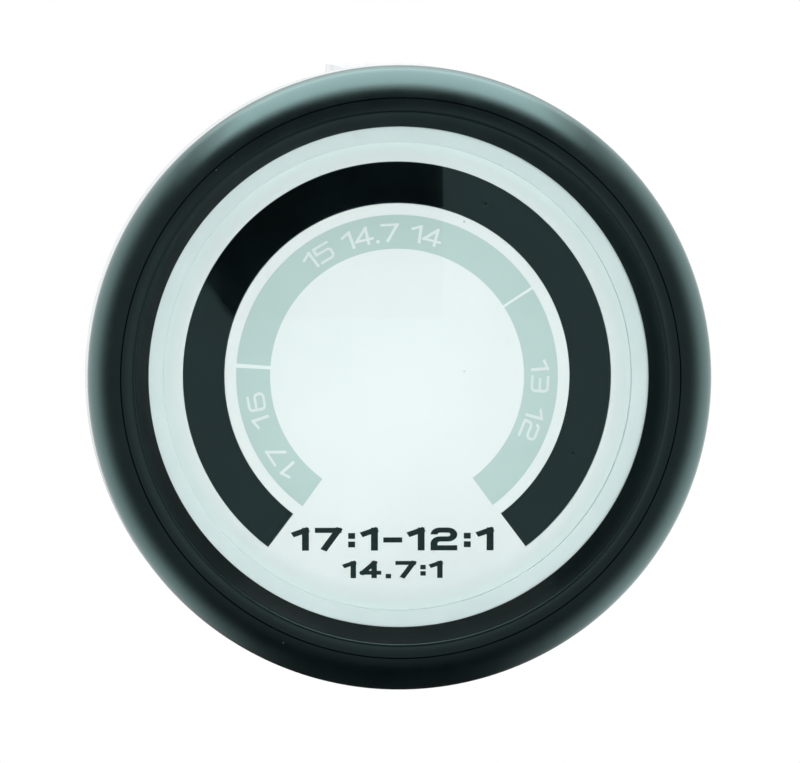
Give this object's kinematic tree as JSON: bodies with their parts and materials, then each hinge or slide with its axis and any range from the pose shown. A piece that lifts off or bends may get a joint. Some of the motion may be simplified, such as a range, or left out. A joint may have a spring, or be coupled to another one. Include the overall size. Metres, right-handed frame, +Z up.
{
  "type": "air fuel ratio gauge",
  "caption": "Round dashboard gauge with a black rolled bezel, a white dial and an arc of LEDs, clamped in a panel hole by a U bracket on studs.",
  "frame": {"origin": "on the gauge's axis, in the plane of the bezel's rear face, which rests on the panel", "axes": "+Y into the dashboard, along the barrel; +X to the driver's right; +Z up, towards 12 o'clock"},
  "size_m": [0.0572, 0.0666, 0.0572],
  "materials": {
    "bezel": "semi-gloss black",
    "rubber": "matt",
    "clear_lens": "polished",
    "white_plastic": "matt white",
    "smoked_window": "smoked, gloss",
    "light_guide": "frosted",
    "led_red": "gloss",
    "led_green": "gloss",
    "led_amber": "gloss",
    "circuit_board": "satin solder mask",
    "black_plastic": "fine grain",
    "gold_pins": "bright",
    "chip": "matt",
    "capacitor": "sleeved",
    "natural_plastic": "natural",
    "plated_steel": "yellow zinc",
    "aluminium": "turned",
    "lamp_glass": "clear",
    "zinc_steel": "bright zinc"
  },
  "bodies": {
    "gauge": {"bezel": "bezel", "lens_gasket": "rubber", "lens": "clear_lens", "spacer_ring": "white_plastic", "dial_face": "white_plastic", "led_window": "smoked_window", "led_baffle": "white_plastic", "light_guide": "light_guide", "leds_lean": "led_red", "leds_stoich": "led_green", "leds_rich": "led_amber", "display_board": "circuit_board", "driver_board": "circuit_board", "link_header": "black_plastic", "link_pins": "gold_pins", "driver_chip_upper": "chip", "driver_chip_lower": "chip", "voltage_regulator": "chip", "smoothing_capacitor": "capacitor", "resistors": "chip", "header_shell": "natural_plastic", "header_pins": "gold_pins", "case": "black_plastic", "stud_screws": "plated_steel", "front_spacers": "aluminium", "rear_spacers": "aluminium", "jam_nuts": "plated_steel"},
    "lamp_unit": {"lamp_holder": "black_plastic", "lamp_seal": "rubber", "lamp": "lamp_glass"},
    "clamp_bracket": {"bracket": "zinc_steel", "lock_washers": "zinc_steel"},
    "upper_nut": {"upper_nut": "plated_steel"},
    "lower_nut": {"lower_nut": "plated_steel"}
  },
  "joints": [
    {"name": "lamp_twist", "type": "hinge", "parent": "gauge", "child": "lamp_unit", "pos_m": [-0.0125, 0.033, 0], "axis": [0, 1, 0], "range_deg": [0, 45]},
    {"name": "bracket_slide", "type": "slide", "parent": "gauge", "child": "clamp_bracket", "axis": [0, 1, 0], "range_m": [-0.0015, 0.008]},
    {"name": "upper_nut_spin", "type": "hinge", "parent": "clamp_bracket", "child": "upper_nut", "pos_m": [0, 0.0445, 0.011], "axis": [0, 1, 0], "range_deg": [-772, 4115]},
    {"name": "lower_nut_spin", "type": "hinge", "parent": "clamp_bracket", "child": "lower_nut", "pos_m": [0, 0.0445, -0.011], "axis": [0, 1, 0], "range_deg": [-772, 4115]}
  ],
  "couplings": [
    {"joint": "upper_nut_spin", "follows": "bracket_slide", "rad_per_m": 8976},
    {"joint": "lower_nut_spin", "follows": "bracket_slide", "rad_per_m": 8976}
  ]
}
